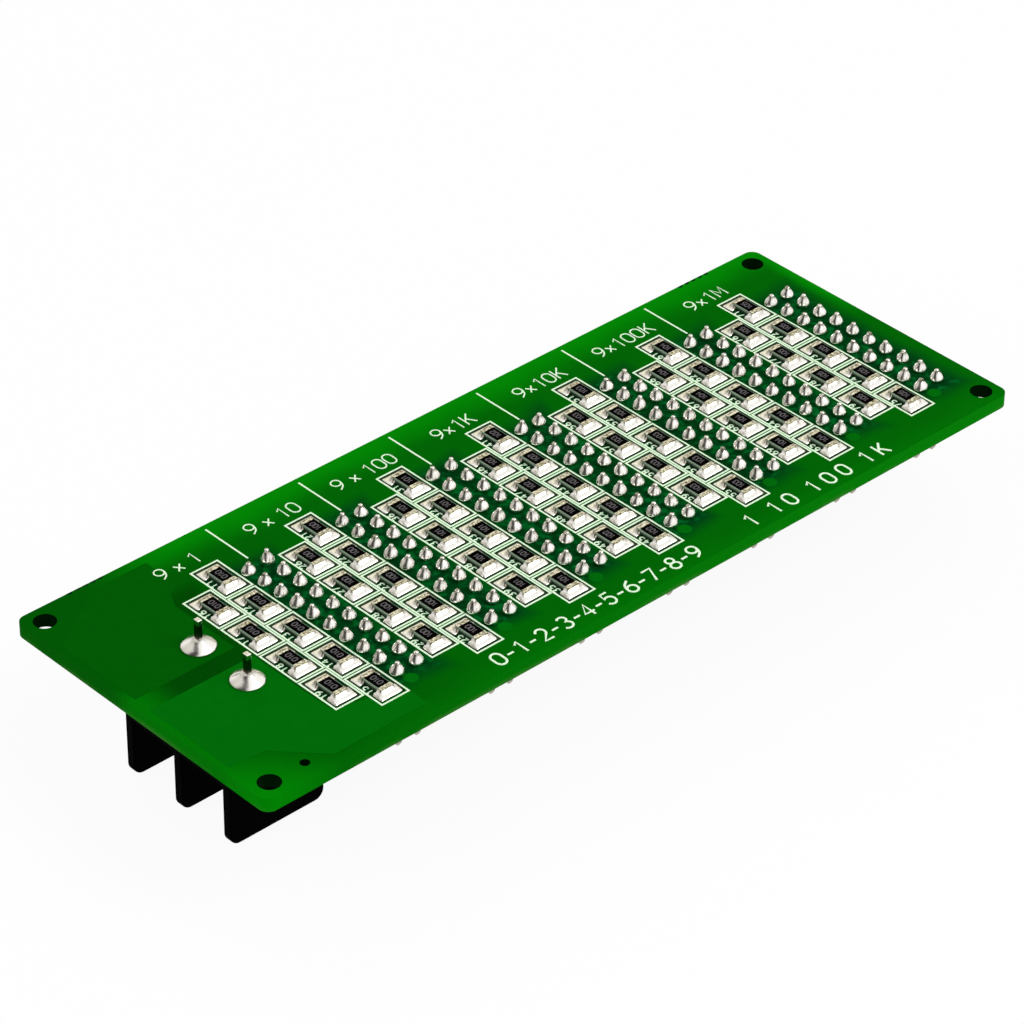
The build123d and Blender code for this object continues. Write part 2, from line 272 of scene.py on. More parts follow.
# Sawn edges: painted light at the right end and on the lower rim, painted shade in the holes.
fibre_edge_lit = (0.003, 0.25, 0.003)
lit_fibre_end = (0.045, 0.34, 0.04)
shaded_hole_wall = (0.0008, 0.012, 0.0015)
lower_rim_glow = (0.05, 0.2, 0.03)
lower_rim_height = 0.7 * mm
hole_inset = 0.7 * mm
hole_softness = 0.1 * mm
cloud_grain_mm = 9.0
cloud_shift = 3.0 * mm
fine_grain_mm = 0.9
mottle_share = 0.2
patch_span = (0.46, 0.68)
streak_grain_mm = 0.35
streak_squeeze = 0.12
streak_light = 0.2
right_end_light = 0.4
rim_cloud_span = (0.42, 0.6)
wall_span = (0.4, 0.6)
mask_gloss_span = (0.2, 0.8)
mask_rough = (0.3, 0.42)
mask_bump_mm = 0.012
mask_bump_fine_share = 0.6
end_wall_depth = 0.2 * mm
far_glow_width = 5.0 * mm
far_glow_start_x = -45.5 * mm
far_glow_full_x = -31.74 * mm
near_glow = 0.2
near_glow_width = 3.0 * mm
end_glow_width = 2.2 * mm
end_glow_full_y = 9.0 * mm
corner_glow = 0.9
corner_glow_slant = 0.9
corner_glow_reach = 14.0 * mm
left_glow = 0.5
left_glow_fall = (0.5 * mm, 4.5 * mm)
deep_to_plain_x = (-42.32 * mm, -15.87 * mm)
header_shade_margin = 0.6 * mm
header_shade_softness = 1.6 * mm
block_shade_low = (-48.6 * mm, -10.6 * mm)
block_shade_high = (-35.5 * mm, 12.5 * mm)
block_shade_softness = 1.3 * mm

board_low, board_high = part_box("circuit_board")
first_header_low, first_header_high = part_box("header_base_1")
header_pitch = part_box("header_base_2")[0].x - first_header_low.x
header_middle = (first_header_low + first_header_high) / 2
header_half = (first_header_high - first_header_low) / 2


def blend_colour(tree, share, first, second):
    """Mixes two colours, each a socket or three numbers, by a share."""
    mix = add_node(tree, "ShaderNodeMix", {"Factor": share}, data_type="RGBA")
    sockets = [s for s in mix.inputs if s.type == "RGBA"]
    for socket, value in zip(sockets, (first, second)):
        if isinstance(value, tuple):
            socket.default_value = (*value, 1)
        else:
            tree.links.new(value, socket)
    return next(s for s in mix.outputs if s.type == "RGBA")


def grain(tree, size_mm, detail, squeeze=None):
    """Noise from 0 to 1 with grains of about that size, drawn out along Z by a squeeze."""
    place = add_node(tree, "ShaderNodeTexCoord").outputs["Object"]
    if squeeze:
        mapping = add_node(tree, "ShaderNodeMapping", {"Vector": place, "Scale": (1.0, 1.0, squeeze)})
        place = mapping.outputs[0]
    inputs = {"Vector": place, "Scale": 1 / (size_mm * mm), "Detail": detail}
    return add_node(tree, "ShaderNodeTexNoise", inputs).outputs["Fac"]


def bumps(tree, height, depth_mm):
    """Normals of a surface raised by a height from 0 to 1, at most depth_mm high."""
    inputs = {"Strength": 1.0, "Distance": depth_mm * mm, "Height": height}
    return add_node(tree, "ShaderNodeBump", inputs).outputs["Normal"]


def place_parts(tree):
    """X, Y and Z of a place on the object, as sockets."""
    place = add_node(tree, "ShaderNodeTexCoord").outputs["Object"]
    return add_node(tree, "ShaderNodeSeparateXYZ", {0: place}).outputs


def new_finish(name):
    """A new material, with its tree and its shader."""
    material = bpy.data.materials.new(name)
    material.use_nodes = True
    return material, material.node_tree, material.node_tree.nodes["Principled BSDF"]


def wear(node_names, material):
    """Gives CAD nodes a material in place of their plain one."""
    for name in node_names:
        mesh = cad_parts[name].data
        mesh.materials.clear()
        mesh.materials.append(material)


def rectangle_distance(tree, x, y, middle, half):
    """Signed distance from a rectangle's rim, positive outside it."""
    reaches = []
    for value, centre, reach in zip((x, y), middle, half):
        away = math_step(tree, "ABSOLUTE", math_step(tree, "SUBTRACT", value, centre))
        reaches.append(math_step(tree, "SUBTRACT", away, reach))
    return math_step(tree, "MAXIMUM", *reaches)


def edge_glow(tree, x, y, wobble):
    """How much painted glow, for light through the fibre from the edges, goes into the green, from 0 to 1.
    """
    to_far = math_step(tree, "ADD", math_step(tree, "SUBTRACT", board_high.y, y), wobble)
    to_near = math_step(tree, "ADD", math_step(tree, "SUBTRACT", y, board_low.y), wobble)
    from_left = math_step(tree, "SUBTRACT", x, board_low.x)
    from_end = math_step(tree, "SUBTRACT", board_high.x, x)
    glow_far = ramp_step(tree, to_far, 0.0, far_glow_width, 1.0, 0.0)
    glow = math_step(tree, "MULTIPLY", glow_far, ramp_step(tree, x, far_glow_start_x, far_glow_full_x))
    glow_near = ramp_step(tree, to_near, 0.0, near_glow_width, near_glow, 0.0)
    glow_end = ramp_step(tree, from_end, 0.0, end_glow_width, 1.0, 0.0)
    glow_end = math_step(tree, "MULTIPLY", glow_end, ramp_step(tree, y, 0.0, end_glow_full_y))
    past_corner = math_step(tree, "ADD", from_left, math_step(tree, "MULTIPLY", to_near, corner_glow_slant))
    glow_corner = ramp_step(tree, past_corner, 0.0, corner_glow_reach, corner_glow, 0.0)
    glow_left = ramp_step(tree, math_step(tree, "MAXIMUM", from_left, y), *left_glow_fall, left_glow, 0.0)
    for other in (glow_near, glow_corner, glow_end, glow_left):
        glow = math_step(tree, "MAXIMUM", glow, other)
    return glow


def mask_colour(tree, x, y, clouds):
    """Green of the mask by place: painted glow at the edges, painted shade over what stands underneath."""
    wobble = math_step(tree, "MULTIPLY", math_step(tree, "SUBTRACT", clouds, 0.5), cloud_shift)
    plain = blend_colour(tree, ramp_step(tree, x, *deep_to_plain_x), mask_deep, mask_plain)
    colour = blend_colour(tree, edge_glow(tree, x, y, wobble), plain, mask_bright)
    # One header's painted shade, repeated at the headers' pitch and never left of the first.
    first_side = header_middle.x - header_pitch / 2
    from_first = math_step(tree, "SUBTRACT", math_step(tree, "MAXIMUM", x, first_side), first_side)
    folded = math_step(tree, "FLOORED_MODULO", from_first, header_pitch)
    folded = math_step(tree, "SUBTRACT", folded, header_pitch / 2)
    half = (header_half.x + header_shade_margin, header_half.y + header_shade_margin)
    over_header = rectangle_distance(tree, folded, y, (0, header_middle.y), half)
    over_header = math_step(tree, "ADD", over_header, wobble)
    shade = ramp_step(tree, over_header, -header_shade_softness, header_shade_softness, 1.0, 0.0)
    # Painted shade over the terminal block's black moulding.
    zone_middle = [(a + b) / 2 for a, b in zip(block_shade_low, block_shade_high)]
    zone_half = [(b - a) / 2 for a, b in zip(block_shade_low, block_shade_high)]
    over_block = rectangle_distance(tree, x, y, zone_middle, zone_half)
    block_shade = ramp_step(tree, over_block, -block_shade_softness, block_shade_softness, 1.0, 0.0)
    colour = blend_colour(tree, block_shade, colour, block_shade_green)
    # Lighter patches in the painted shade over the headers.
    patches = ramp_step(tree, grain(tree, fine_grain_mm, detail=3.0), *patch_span)
    patches = math_step(tree, "MULTIPLY", patches, ramp_step(tree, shade, 0.5, 1.0))
    return blend_colour(tree, shade, colour, blend_colour(tree, patches, header_shade_green, shade_patch_green))


def sawn_edge(tree, at, clouds, mask_green):
    """Colour of the sawn edges and of the holes' walls, with painted light towards the right end and on the
    lower rim, and painted shade on the holes' walls.
    """
    streaks = grain(tree, streak_grain_mm, detail=5.0, squeeze=streak_squeeze)
    streak_share = math_step(tree, "MULTIPLY", streaks, streak_light)
    lit_share = ramp_step(tree, at["X"], board_low.x, board_high.x, 0.0, right_end_light)
    lit_share = math_step(tree, "ADD", lit_share, streak_share, clamp=True)
    colour = blend_colour(tree, lit_share, mask_green, fibre_edge_lit)
    at_end = ramp_step(tree, at["X"], board_high.x - hole_inset, board_high.x - end_wall_depth)
    colour = blend_colour(tree, at_end, colour, lit_fibre_end)
    at_rim = ramp_step(tree, at["Z"], board_low.z, board_low.z + lower_rim_height, 1.0, 0.0)
    at_rim = math_step(tree, "MULTIPLY", at_rim, ramp_step(tree, clouds, *rim_cloud_span))
    colour = blend_colour(tree, math_step(tree, "MULTIPLY", at_rim, streaks), colour, lower_rim_glow)
    inset = (board_high.x - hole_inset, board_high.y - hole_inset)
    from_rim = rectangle_distance(tree, at["X"], at["Y"], (0, 0), inset)
    in_hole = ramp_step(tree, from_rim, -hole_softness, hole_softness, 1.0, 0.0)
    return blend_colour(tree, in_hole, colour, shaded_hole_wall)


fibre_board, tree, shader = new_finish("fibre_board")
at = place_parts(tree)
clouds = grain(tree, cloud_grain_mm, detail=2.0)
fine = grain(tree, fine_grain_mm, detail=4.0)
mask_green = mask_colour(tree, at["X"], at["Y"], clouds)
normal = add_node(tree, "ShaderNodeNewGeometry").outputs["Normal"]
facing = add_node(tree, "ShaderNodeSeparateXYZ", {0: normal}).outputs
is_wall = ramp_step(tree, math_step(tree, "ABSOLUTE", facing["Z"]), *wall_span, 1.0, 0.0)
mottled = blend_colour(tree, math_step(tree, "MULTIPLY", fine, mottle_share), mask_green, mask_deep)
mask_height = math_step(tree, "ADD", math_step(tree, "MULTIPLY", fine, mask_bump_fine_share), clouds)
feed(tree, shader, {
    "Base Color": blend_colour(tree, is_wall, mottled, sawn_edge(tree, at, clouds, mask_green)),
    "Roughness": ramp_step(tree, fine, *mask_gloss_span, *mask_rough),
    "Specular IOR Level": mask_gloss,
    "Specular Tint": mask_gloss_tint,
    "Normal": bumps(tree, mask_height, mask_bump_mm),
})
wear(["circuit_board"], fibre_board)


# Tab stubs
# The board was snapped out of its panel at two rows of small holes in the far edge.
# Torn glass fibre closes most of each bite, and the mask is rough round it.
stub_green = (0.0004, 0.022, 0.006)
bite_radius = 0.25 * mm
bite_open_depth = 0.09 * mm
bite_pitch = 1.0 * mm
bite_count = 5
first_bite_from_left = 7.0 * mm
last_bite_from_right = 7.6 * mm
scar_reach = 0.36 * mm
scar_film = 0.006 * mm
rough_span = (0.3, 0.7)


def grained(
    name, tones, rough, grain_mm, detail=4.0, bump_mm=None, span=None, gloss=None, metal=0.0, squeeze=None
):
    """A material whose tone, roughness and bumps follow one grain.

    The tone goes from the first to the second of two over the whole grain, or over the
    span of it that is given. A roughness of two numbers rises with the grain.
    """
    material, tree, shader = new_finish(name)
    height = grain(tree, grain_mm, detail, squeeze)
    share = ramp_step(tree, height, *span) if span else height
    if isinstance(rough, tuple):
        rough = ramp_step(tree, height, *rough_span, *rough)
    inputs = {"Base Color": blend_colour(tree, share, *tones), "Roughness": rough, "Metallic": metal}
    if gloss is not None:
        inputs["Specular IOR Level"] = gloss
    if bump_mm:
        inputs["Normal"] = bumps(tree, height, bump_mm)
    feed(tree, shader, inputs)
    return material


def bow(x, y, wide, high, start, end, steps=9):
    """Points along part of an ellipse, by its middle, half sizes and degrees."""
    angles = [math.radians(start + (end - start) * step / steps) for step in range(steps + 1)]
    return [(x + wide * math.cos(angle), y + high * math.sin(angle)) for angle in angles]


def skin(form, loops):
    """Faces between closed loops of points, each with the next, and over both ends."""
    for lower, upper in zip(loops, loops[1:]):
        for index in range(len(lower)):
            after = (index + 1) % len(lower)
            form.faces.new((lower[index], lower[after], upper[after], upper[index]))
    form.faces.new(loops[0][::-1])
    form.faces.new(loops[-1])


def prism(name, outlines, bottom, top, material):
    """Flat shapes of the given outlines, from bottom to top, as one closed mesh."""
    form = bmesh.new()
    for outline in outlines:
        skin(form, [[form.verts.new((x, y, z)) for x, y in outline] for z in (bottom, top)])
    bmesh.ops.recalc_face_normals(form, faces=form.faces)
    return shaped(name, form, material)


def seat(piece, body, node=None):
    """Fixes a piece to a body, and in the place of a CAD node if one is named."""
    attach(piece, body)
    if node:
        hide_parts(node)


torn_fibre = grained(
    "torn_fibre", (stub_green, mask_deep), 0.7, grain_mm=0.2, bump_mm=0.02, span=(0.45, 0.7), gloss=0.01
)
stub_outlines = []
scar_outlines = []
lowest = math.degrees(math.asin(bite_open_depth / bite_radius))
tab_length = (bite_count - 1) * bite_pitch
for first in (board_low.x + first_bite_from_left, board_high.x - last_bite_from_right - tab_length):
    for step in range(bite_count):
        bite = (first + step * bite_pitch, board_high.y)
        stub_outlines.append(bow(*bite, bite_radius, bite_radius, 180 + lowest, 360 - lowest, steps=6))
        scar_outlines.append(bow(*bite, scar_reach, scar_reach, 180, 360, steps=8))
tab_stubs = prism("tab_stubs", stub_outlines, board_low.z, board_high.z, torn_fibre)
torn_rims = prism("torn_rims", scar_outlines, board_high.z, board_high.z + scar_film, torn_fibre)
seat(tab_stubs, "board")
seat(torn_rims, "board")


# Copper under the mask
# Thin etched copper foil lies under the mask, which is slightly raised over it and of
# another green: two broad pours from the terminal joints and a via by each header.
foil_height = 0.012 * mm
foil_bump_mm = 0.01
far_pour = (
    # corners in mm
    (-52.1, 1.3),
    (-39.3, 1.3),
    (-39.3, 10.6),
    (-38.4, 12.6),
    (-36.8, 13.2),
    (-36.8, 18.5),
    (-43.6, 18.5),
    (-52.1, 13.0),
)
near_pour = (
    (-52.1, -13.2),
    (-47.9, -13.5),
    (-43.2, -18.4),
    (-31.0, -18.4),
    (-31.0, -14.9),
    (-34.0, -14.3),
    (-38.8, -12.8),
    (-38.8, -1.0),
    (-52.1, -1.0),
)
between_pours = (-1.0 * mm, 1.3 * mm)
copper_green = (0.0004, 0.133, 0.0028)
copper_green_deep = (0.0003, 0.086, 0.0012)
copper_rough = (0.3, 0.4)
copper_cloud_mm = 7.0
copper_cloud_share = 0.15
copper_grain_mm = 1.6
copper_light_share = 0.12
via_green = (0.0004, 0.124, 0.0035)
via_zone = (-34.9 * mm, -15.1 * mm)
via_radius = 0.8 * mm
via_from_column = 0.5 * mm
via_y = -14.3 * mm
pin_half = 0.32 * mm

masked_copper, tree, shader = new_finish("masked_copper")
at = place_parts(tree)
clouds = grain(tree, copper_cloud_mm, detail=2.0)
fine = grain(tree, copper_grain_mm, detail=3.0)
far_share = ramp_step(tree, at["Y"], *between_pours)
cloud_share = math_step(tree, "MULTIPLY", clouds, copper_cloud_share)
far_share = math_step(tree, "ADD", far_share, cloud_share, clamp=True)
copper_tone = blend_colour(tree, far_share, copper_green, copper_green_deep)
at_via = math_step(tree, "GREATER_THAN", at["X"], via_zone[0])
at_via = math_step(tree, "MULTIPLY", at_via, math_step(tree, "GREATER_THAN", at["Y"], via_zone[1]))
copper_tone = blend_colour(tree, at_via, copper_tone, via_green)
light_share = math_step(tree, "MULTIPLY", fine, copper_light_share)
feed(tree, shader, {
    "Base Color": blend_colour(tree, light_share, copper_tone, mask_bright),
    "Roughness": ramp_step(tree, fine, *mask_gloss_span, *copper_rough),
    "Specular IOR Level": mask_gloss,
    "Specular Tint": mask_gloss_tint,
    "Normal": bumps(tree, fine, foil_bump_mm),
})


def pin_columns(decade):
    """X of a decade's two columns of pins."""
    low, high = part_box(f"header_pins_{decade}")
    return low.x + pin_half, high.x - pin_half


foil_outlines = [[(x * mm, y * mm) for x, y in pour] for pour in (far_pour, near_pour)]
for decade in decades:
    via_x = pin_columns(decade)[0] + via_from_column
    foil_outlines.append(bow(via_x, via_y, via_radius, via_radius, 0, 330, steps=11))
pours = prism("copper_pours", foil_outlines, board_high.z, board_high.z + foil_height, masked_copper)
seat(pours, "board")


# Screen print
# Pale ink, squeezed through a screen onto the mask. The outlines and separators
# are flat bars with square ends; the labels are drawn with a round pen.
ink_tones = ((0.87, 0.99, 0.8), (0.6, 0.95, 0.56))
outline_film = 0.03 * mm
outline_half = (1.87 * mm, 2.92 * mm)
outline_stroke = 0.205 * mm
separator_half_width = 0.1 * mm
separator_from_column = 1.55 * mm
separator_span_y = (12.1 * mm, 18.95 * mm)
header_outline_gap = 0.53 * mm
header_outline_stroke = 0.28 * mm
chip_width = 1.6 * mm
core_length = 3.1 * mm
inner_rows = 5
outer_rows = 4
outer_offset = 3.5 * mm
ink_height = 0.06 * mm
space_share = 0.5
decade_labels = ("9 x 1", "9 x 10", "9 x 100", "9x1K", "9x10K", "9x100K", "9x1M")
label_pen = 0.19 * mm
label_height = 1.85 * mm
label_advance = 0.78
label_end_gap = 0.18
label_foot_y = 14.95 * mm
label_middle_from_column = -4.7 * mm
number_rows = (
    # words, X of their start in mm, advance
    ("0-1-2-3-4-5-6-7-8-9", -21.6, 0.77),
    ("1 10 100 1K", 14.2, 1.17),
)
number_row_pen = 0.29 * mm
number_row_height = 1.98 * mm
number_row_foot_y = -18.85 * mm

print_ink = grained(
    "print_ink", ink_tones, 0.55, grain_mm=0.25, detail=3.0, bump_mm=0.01, span=(0.35, 0.75), gloss=0.1
)


def frame_bars(x, y, half_x, half_y, stroke):
    """Outlines of the four mitred bars of a printed rectangle."""
    outer = rectangle(x, y, half_x, half_y)
    inner = rectangle(x, y, half_x - stroke, half_y - stroke)
    return [[outer[n], outer[(n + 1) % 4], inner[(n + 1) % 4], inner[n]] for n in range(4)]


def chip_places(decade):
    """X and Y of a decade's nine resistors, inner column first."""
    low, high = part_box(f"resistor_cores_{decade}")
    inner_x = high.x - chip_width / 2
    outer_x = low.x + chip_width / 2
    first_y = high.y - core_length / 2
    pitch = (high.y - low.y - core_length) / (inner_rows - 1)
    places = [(inner_x, first_y - row * pitch) for row in range(inner_rows)]
    return places + [(outer_x, first_y - outer_offset - row * pitch) for row in range(outer_rows)]


upper_lines = []
lower_lines = []
separator_y = sum(separator_span_y) / 2
separator_half_length = separator_span_y[1] - separator_y
for decade in decades:
    for x, y in chip_places(decade):
        upper_lines += frame_bars(x, y, *outline_half, outline_stroke)
    low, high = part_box(f"header_base_{decade}")
    middle = (low + high) / 2
    reach = (high - low) / 2
    reaches = (reach.x + header_outline_gap, reach.y + header_outline_gap)
    lower_lines += frame_bars(middle.x, middle.y, *reaches, header_outline_stroke)
    if decade < decades[-1]:
        line_x = pin_columns(decade)[0] + separator_from_column
        upper_lines.append(rectangle(line_x, separator_y, separator_half_width, separator_half_length))
for name, lines, bottom, top in (
    ("outlines_above", upper_lines, board_high.z, board_high.z + outline_film),
    ("outlines_below", lower_lines, board_low.z - outline_film, board_low.z),
):
    seat(prism(name, lines, bottom, top, print_ink), "board", "board_print")

# Each character is strokes of a pen in a box 1 high and about 0.6 wide.
pen_strokes = {
    "0": [bow(0.3, 0.68, 0.3, 0.32, 0, 180) + bow(0.3, 0.32, 0.3, 0.32, 180, 360) + [(0.6, 0.68)]],
    "1": [[(0.12, 0.78), (0.36, 1.0), (0.36, 0.0)]],
    "2": [bow(0.3, 0.7, 0.28, 0.3, 165, -35) + [(0.02, 0.0), (0.6, 0.0)]],
    "3": [bow(0.28, 0.76, 0.26, 0.24, 150, -80) + bow(0.28, 0.27, 0.3, 0.27, 80, -150)],
    "4": [[(0.45, 0.0), (0.45, 1.0), (0.0, 0.3), (0.62, 0.3)]],
    "5": [[(0.54, 1.0), (0.1, 1.0), (0.06, 0.56)] + bow(0.27, 0.33, 0.31, 0.33, 125, -150)],
    "6": [[(0.48, 1.0)] + bow(0.46, 0.3, 0.46, 0.62, 120, 180, 5), bow(0.3, 0.3, 0.3, 0.3, 0, 360, 14)],
    "7": [[(0.0, 1.0), (0.6, 1.0), (0.2, 0.0)]],
    "8": [bow(0.3, 0.76, 0.24, 0.24, 0, 360, 14), bow(0.3, 0.27, 0.3, 0.27, 0, 360, 14)],
    "9": [bow(0.3, 0.7, 0.3, 0.3, 0, 360, 14), bow(0.14, 0.7, 0.46, 0.62, 0, -60, 5) + [(0.12, 0.0)]],
    "-": [[(0.1, 0.45), (0.5, 0.45)]],
    "x": [[(0.05, 0.6), (0.5, 0.05)], [(0.05, 0.05), (0.5, 0.6)]],
    "K": [[(0.02, 0.0), (0.02, 1.0)], [(0.58, 1.0), (0.02, 0.38)], [(0.22, 0.6), (0.62, 0.0)]],
    "M": [[(0.0, 0.0), (0.0, 1.0), (0.33, 0.3), (0.66, 1.0), (0.66, 0.0)]],
}


def words_width(words, advance):
    """Width of some words in character heights, where a space is narrower."""
    return advance * sum(space_share if character == " " else 1.0 for character in words)


def written(words, x, y, along, height, advance):
    """Pen strokes of some words from a start, as lists of places on the board."""
    start = Vector((x, y))
    right = Vector((math.cos(along), math.sin(along)))
    up = Vector((-math.sin(along), math.cos(along)))
    strokes = []
    for index, character in enumerate(words):
        before = words_width(words[:index], advance)
        for stroke in pen_strokes.get(character, []):
            points = []
            for across, high in stroke:
                spot = start + right * (across + before) * height + up * high * height
                points.append((spot.x, spot.y))
            strokes.append(points)
    return strokes


def new_group(name, takes, gives):
    """A node group with named inputs; gives it, its inputs and its last node."""
    group = bpy.data.node_groups.new(name, "GeometryNodeTree")
    for label, kind in takes:
        group.interface.new_socket(label, in_out="INPUT", socket_type="NodeSocket" + kind)
    group.interface.new_socket(gives, in_out="OUTPUT", socket_type="NodeSocketGeometry")
    return group, group.nodes.new("NodeGroupInput").outputs, group.nodes.new("NodeGroupOutput")


def end_group(group, shape, finish, result):
    """Ends a node group: smooth faces, one plain mesh and one material."""
    smooth = add_node(group, "GeometryNodeSetShadeSmooth", {0: shape})
    real = add_node(group, "GeometryNodeRealizeInstances", {0: smooth.outputs[0]})
    paint = add_node(group, "GeometryNodeSetMaterial", {"Geometry": real.outputs[0], "Material": finish})
    feed(group, result, {0: paint.outputs[0]})


def pen_group():
    """Draws a round pen along loose edges and flattens it to a film of ink."""
    takes = [("Strokes", "Geometry"), ("Ink", "Material")]
    takes += [(label, "Float") for label in ("Pen width", "Film", "Surface height")]
    group, given, result = new_group("pen_line", takes, "Lines")
    radius = math_step(group, "MULTIPLY", given["Pen width"], 0.5)
    tip = add_node(group, "GeometryNodeCurvePrimitiveCircle", {"Resolution": 8, "Radius": radius})
    path = add_node(group, "GeometryNodeMeshToCurve", {"Mesh": given["Strokes"]})
    inputs = {"Curve": path.outputs["Curve"], "Profile Curve": tip.outputs["Curve"], "Fill Caps": True}
    sweep = add_node(group, "GeometryNodeCurveToMesh", inputs)
    position = add_node(group, "GeometryNodeInputPosition").outputs[0]
    at = add_node(group, "ShaderNodeSeparateXYZ", {0: position}).outputs
    above = math_step(group, "SUBTRACT", at["Z"], given["Surface height"])
    flat = math_step(group, "MULTIPLY", math_step(group, "DIVIDE", above, radius), given["Film"])
    new_z = math_step(group, "ADD", flat, given["Surface height"])
    spot = add_node(group, "ShaderNodeCombineXYZ", {"X": at["X"], "Y": at["Y"], "Z": new_z})
    inputs = {"Geometry": sweep.outputs[0], "Position": spot.outputs[0]}
    flattened = add_node(group, "GeometryNodeSetPosition", inputs)
    end_group(group, flattened.outputs[0], given["Ink"], result)
    return group


def settle(name, source, group, values):
    """Runs a node group on a mesh object and gives the result as a plain piece."""
    modifier = source.modifiers.new(name, "NODES")
    modifier.node_group = group
    for item in group.interface.items_tree:
        if item.item_type == "SOCKET" and item.in_out == "INPUT" and item.name in values:
            modifier[item.identifier] = values[item.name]
    bpy.context.view_layer.update()
    seen = source.evaluated_get(bpy.context.evaluated_depsgraph_get())
    mesh = bpy.data.meshes.new_from_object(seen)
    mesh.name = name
    bpy.data.objects.remove(source)
    return set_out(name, mesh)


pen_lines = pen_group()


def inked(name, strokes, height, pen, film, ink):
    """Strokes drawn on the board at a height in ink, as one piece."""
    points = []
    edges = []
    for stroke in strokes:
        first = len(points)
        points.extend((x, y, height) for x, y in stroke)
        edges.extend((first + step, first + step + 1) for step in range(len(stroke) - 1))
    mesh = bpy.data.meshes.new(name + "_strokes")
    mesh.from_pydata(points, edges, [])
    values = {"Pen width": pen, "Film": film, "Surface height": height, "Ink": ink}
    seat(settle(name, set_out(name + "_strokes", mesh), pen_lines, values), "board")


strokes = []
for decade, label in zip(decades, decade_labels):
    length = (words_width(label, label_advance) - label_end_gap) * label_height
    start_x = pin_columns(decade)[0] + label_middle_from_column - length / 2
    strokes += written(label, start_x, label_foot_y, 0.0, label_height, label_advance)
inked("printed_labels", strokes, board_high.z, label_pen, ink_height, print_ink)

strokes = []
for words, start_mm, advance in number_rows:
    strokes += written(words, start_mm * mm, number_row_foot_y, 0.0, number_row_height, advance)
inked("printed_numbers", strokes, board_high.z, number_row_pen, ink_height, print_ink)


# Resistors
# Each is a fired ceramic chip with a black glass cover over its film and a grey
# value number, between two wrapped end caps of tinned metal.
chip_length = 3.2 * mm
ceramic_tones = ((0.2, 0.28, 0.2), (0.34, 0.44, 0.33))
foot_shade = (0.03, 0.05, 0.03)
foot_shade_depths = (0.12 * mm, 0.34 * mm)
end_cap_tones = ((0.22, 0.18, 0.1), (0.92, 0.89, 0.74))
glass_tones = ((0.0006, 0.0005, 0.0004), (0.002, 0.0017, 0.0014))
value_tones = ((0.06, 0.055, 0.058), (0.17, 0.155, 0.165))
shaded_tones = ((0.0002, 0.02, 0.004), (0.0003, 0.05, 0.01))
value_numbers = ("010", "100", "101", "102", "103", "104", "105")
value_height = 0.66 * mm
value_pen = 0.15 * mm
value_film = 0.012 * mm
value_advance = 0.74
value_end_gap = 0.12
part_number_height = 0.78 * mm
part_number_pen = 0.19 * mm
part_number_gap = 0.12 * mm
part_number_back = 0.66 * mm
part_number_advance = 0.95
patch_half = (1.67 * mm, 2.72 * mm)
patch_film = 0.008 * mm


def tint(material, share, colour):
    """Blends a material's tone towards a colour by a share."""
    tree = material.node_tree
    tone = tree.nodes["Principled BSDF"].inputs["Base Color"]
    tree.links.new(blend_colour(tree, share, tone.links[0].from_socket, colour), tone)


glass_low, glass_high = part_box("resistor_glass")
ceramic = grained("fired_ceramic", ceramic_tones, 0.7, grain_mm=0.18, bump_mm=0.02, gloss=0.15)
tree = ceramic.node_tree
# Painted shade darkens the ceramic towards its foot, by the board.
shade_top, shade_foot = [glass_low.z - depth for depth in foot_shade_depths]
tint(ceramic, ramp_step(tree, place_parts(tree)["Z"], shade_foot, shade_top, 1.0, 0.0), foot_shade)
wear([f"resistor_cores_{decade}" for decade in decades], ceramic)

tinned = grained(
    "tinned_end", end_cap_tones, (0.25, 0.45), grain_mm=0.3, bump_mm=0.02, span=(0.36, 0.6), metal=1.0
)
wear([f"resistor_end_caps_{decade}" for decade in decades], tinned)

black_glass = grained(
    "black_glass", glass_tones, (0.25, 0.4), grain_mm=0.5, detail=3.0, bump_mm=0.015, gloss=0.0015
)
wear(["resistor_glass"], black_glass)

value_ink = grained("grey_value_ink", value_tones, 0.6, grain_mm=0.12, detail=3.0, gloss=0.05)
shaded_mask = grained("shaded_mask", shaded_tones, 0.4, grain_mm=0.5, detail=3.0, bump_mm=0.01, gloss=0.012)
upward = math.pi / 2
value_strokes = []
part_strokes = []
patches = []
for decade, value in zip(decades, value_numbers):
    reach = (words_width(value, value_advance) - value_end_gap) * value_height
    for number, (x, y) in enumerate(chip_places(decade), start=1):
        spot = (x + value_height / 2, y - reach / 2)
        value_strokes += written(value, *spot, upward, value_height, value_advance)
        spot = (x - chip_width / 2 - part_number_gap, y - part_number_back)
        part_strokes += written(f"{decade}{number}", *spot, upward, part_number_height, part_number_advance)
        patches.append(rectangle(x, y, *patch_half))
inked("resistor_values", value_strokes, glass_high.z, value_pen, value_film, value_ink)
inked("part_numbers", part_strokes, board_high.z, part_number_pen, ink_height, print_ink)
# A dark film round each resistor: mask over bare fibre with no copper, darkened further by painted shade.
under_chips = prism("mask_under_chips", patches, board_high.z, board_high.z + patch_film, shaded_mask)
seat(under_chips, "board")


